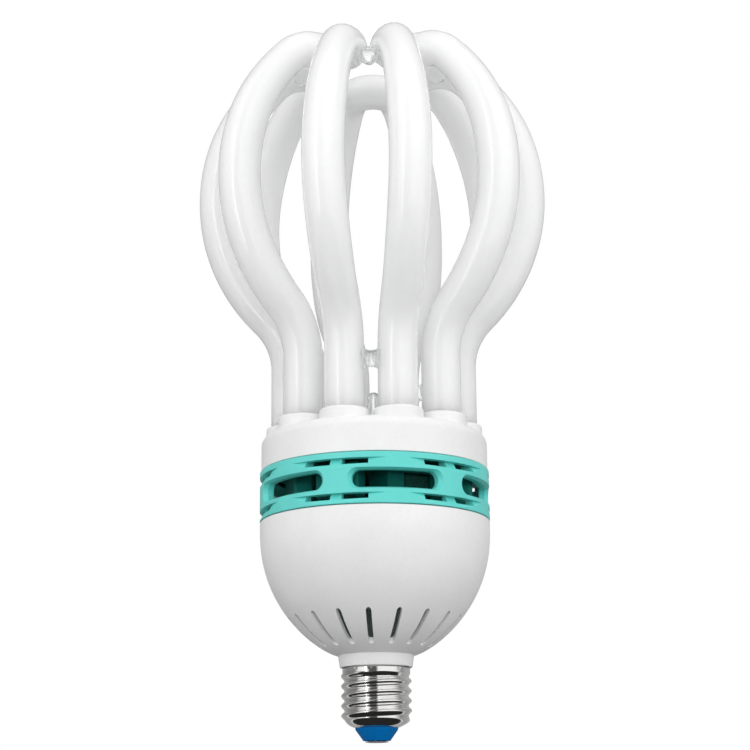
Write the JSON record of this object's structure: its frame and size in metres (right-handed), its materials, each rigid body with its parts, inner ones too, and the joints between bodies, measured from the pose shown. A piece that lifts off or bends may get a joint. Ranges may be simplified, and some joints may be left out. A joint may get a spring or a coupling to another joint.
{
  "type": "compact fluorescent light bulb",
  "caption": "Screw-cap compact fluorescent bulb: U-shaped glass tubes bowed out like petals on a round housing with a vented ring, slotted bowl and threaded cap.",
  "frame": {"origin": "middle of the flat bottom of the centre contact, on the axis of the screw cap", "axes": "+Z along the lamp's axis from the cap to the glass tubes; -Y is the side the picture shows"},
  "size_m": [0.1333, 0.128, 0.2699],
  "materials": {
    "white_housing": "satin",
    "teal_ring": "satin",
    "coated_glass": "gloss",
    "clear_bead": "gloss",
    "plated_shell": "polished",
    "blue_insulator": "satin",
    "contact_metal": "satin",
    "board_laminate": "matte",
    "capacitor_sleeve": "satin",
    "film_case": "satin",
    "ferrite": "matte",
    "winding_copper": "satin",
    "moulded_black": "matte",
    "resistor_body": "matte",
    "disc_lacquer": "gloss",
    "tinned_wire": "satin"
  },
  "bodies": {
    "root": {"centre_contact": "contact_metal", "cap_insulator": "blue_insulator", "screw_shell": "plated_shell", "lower_housing": "white_housing", "vent_ring": "teal_ring", "upper_cover": "white_housing", "glass_petal_1": "coated_glass", "glass_petal_2": "coated_glass", "glass_petal_3": "coated_glass", "glass_petal_4": "coated_glass", "glass_petal_5": "coated_glass", "glass_bridge_1": "coated_glass", "glass_bridge_2": "coated_glass", "glass_bridge_3": "coated_glass", "glass_bridge_4": "coated_glass", "tip_bead_1": "clear_bead", "tip_bead_2": "clear_bead", "tip_bead_3": "clear_bead", "tip_bead_4": "clear_bead", "tip_bead_5": "clear_bead", "glass_stem": "coated_glass", "control_board": "board_laminate", "bulk_capacitor": "capacitor_sleeve", "choke_core": "ferrite", "choke_winding_left": "winding_copper", "choke_winding_right": "winding_copper", "film_capacitor_1": "film_case", "film_capacitor_2": "film_case", "film_capacitor_3": "film_case", "drive_toroid": "ferrite", "transistor_1": "moulded_black", "transistor_2": "moulded_black", "filter_core": "ferrite", "filter_winding": "winding_copper", "diode_1": "moulded_black", "diode_2": "moulded_black", "diode_3": "moulded_black", "diode_4": "moulded_black", "fuse_resistor": "resistor_body", "varistor": "disc_lacquer", "live_wire": "moulded_black", "neutral_wire": "disc_lacquer", "electrode_lead_1": "tinned_wire", "electrode_lead_2": "tinned_wire", "electrode_lead_3": "tinned_wire", "electrode_lead_4": "tinned_wire"}
  },
  "joints": []
}
